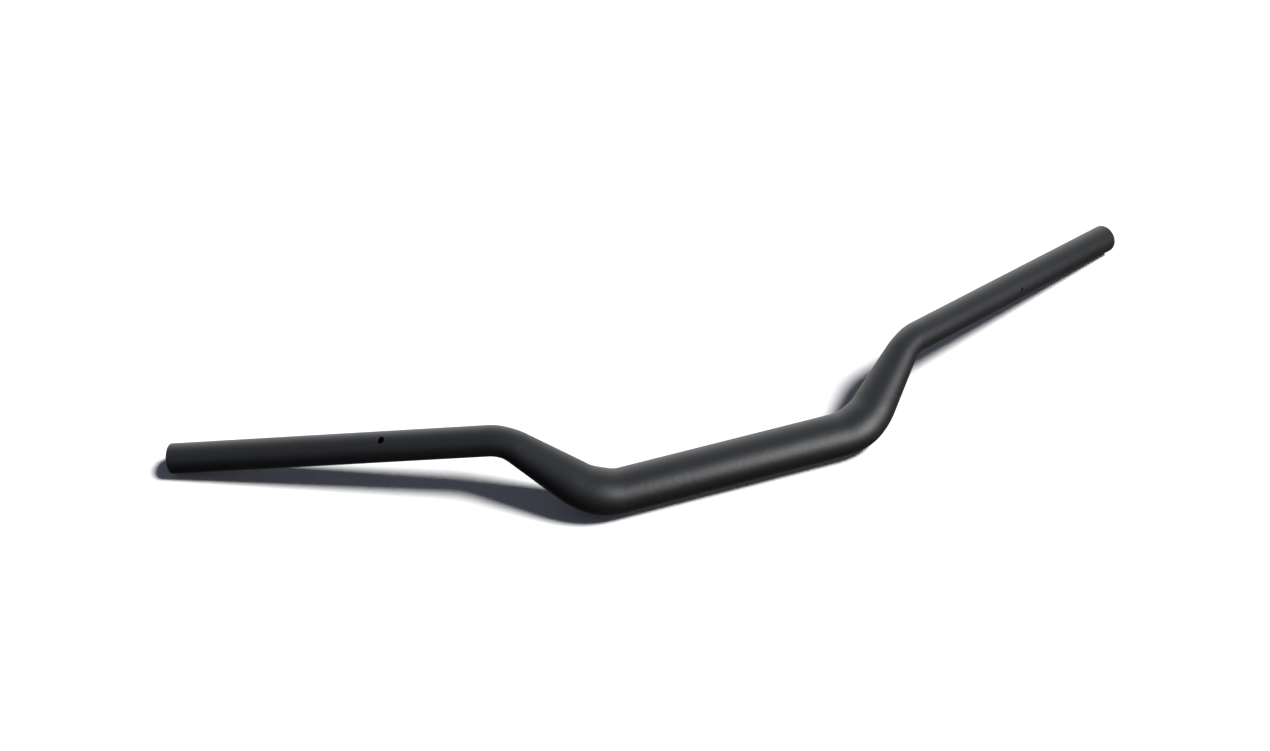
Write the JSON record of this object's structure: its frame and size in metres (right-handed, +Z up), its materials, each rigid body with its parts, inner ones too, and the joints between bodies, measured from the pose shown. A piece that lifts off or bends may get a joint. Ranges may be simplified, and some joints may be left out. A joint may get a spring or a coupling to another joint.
{
  "type": "motorcycle handlebar",
  "caption": "Tapered aluminium motorcycle handlebar: thick straight clamp section, two rises and slim grip ends that sweep back, in satin black.",
  "frame": {"origin": "middle of the clamp section, on its axis", "axes": "+X along the clamp section to the rider's left, +Y towards the rider, +Z up as the bar rests on a flat floor on its clamp section and both tips. On a motorcycle the bar is turned about +X until its rises point up: 55.1 degrees, front edge down, puts the two rises in a vertical plane."},
  "size_m": [0.7634, 0.1652, 0.0568],
  "materials": {
    "black_anodising": "satin black over bead-blasted aluminium"
  },
  "bodies": {
    "root": {"bar_tube": "black_anodising"}
  },
  "joints": []
}
